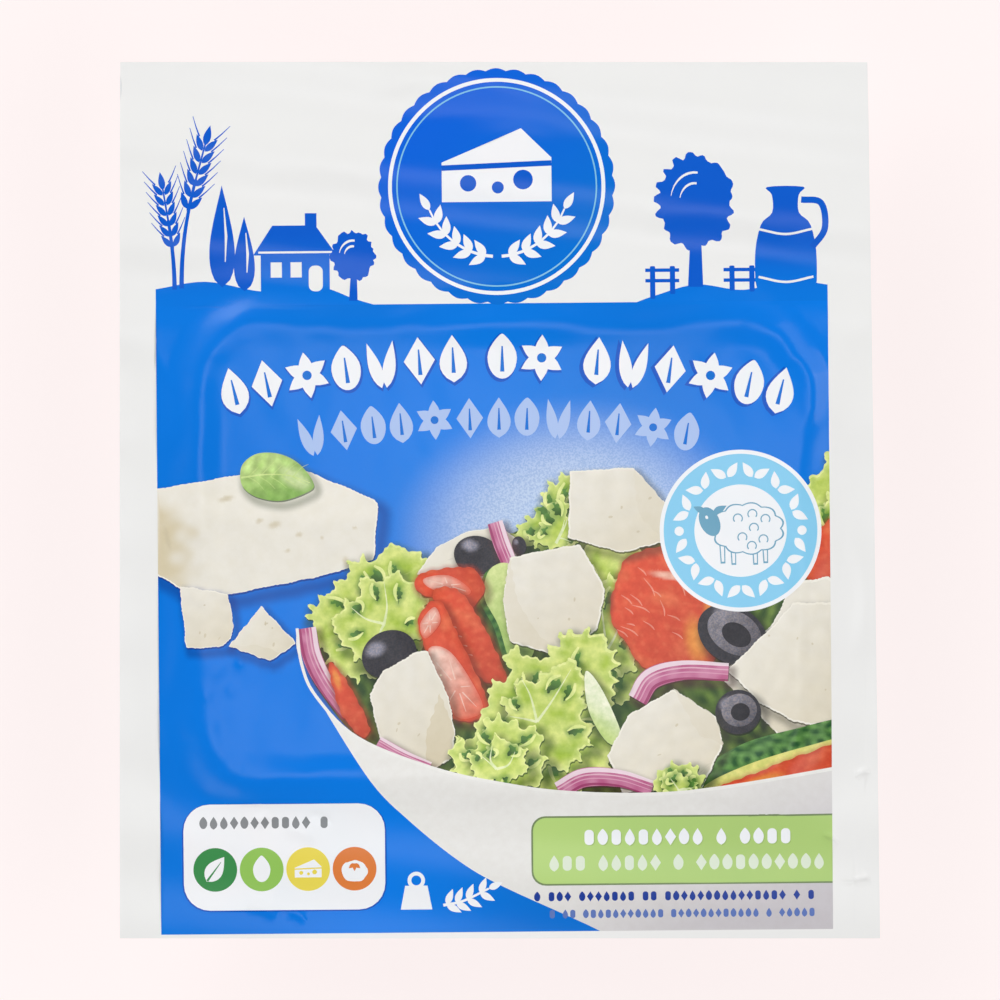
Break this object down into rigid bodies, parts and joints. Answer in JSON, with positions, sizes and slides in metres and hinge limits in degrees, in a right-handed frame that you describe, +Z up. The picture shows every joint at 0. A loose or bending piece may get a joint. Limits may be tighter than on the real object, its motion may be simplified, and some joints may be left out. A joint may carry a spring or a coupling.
{
  "type": "vacuum pack of sheep cheese",
  "caption": "Sealed printed film pack round a block of sheep cheese: a deep-drawn filled pocket under a thin flange, with a blue and white front film, lying on its back.",
  "frame": {"origin": "below the centre of the cut outline, on the surface that the pack lies on", "axes": "+X across the pack to the right of the print, +Y along the pack towards the printed header, +Z up, out of the printed face"},
  "size_m": [0.1302, 0.1502, 0.0273],
  "materials": {
    "back_film": "opaque white glossy barrier film, drawn tight over the block",
    "printed_film": "glossy film, printed in blue and white under a clear layer, with unprinted white margins"
  },
  "bodies": {
    "root": {"filled_pocket": "back_film", "front_film": "printed_film"}
  },
  "joints": []
}
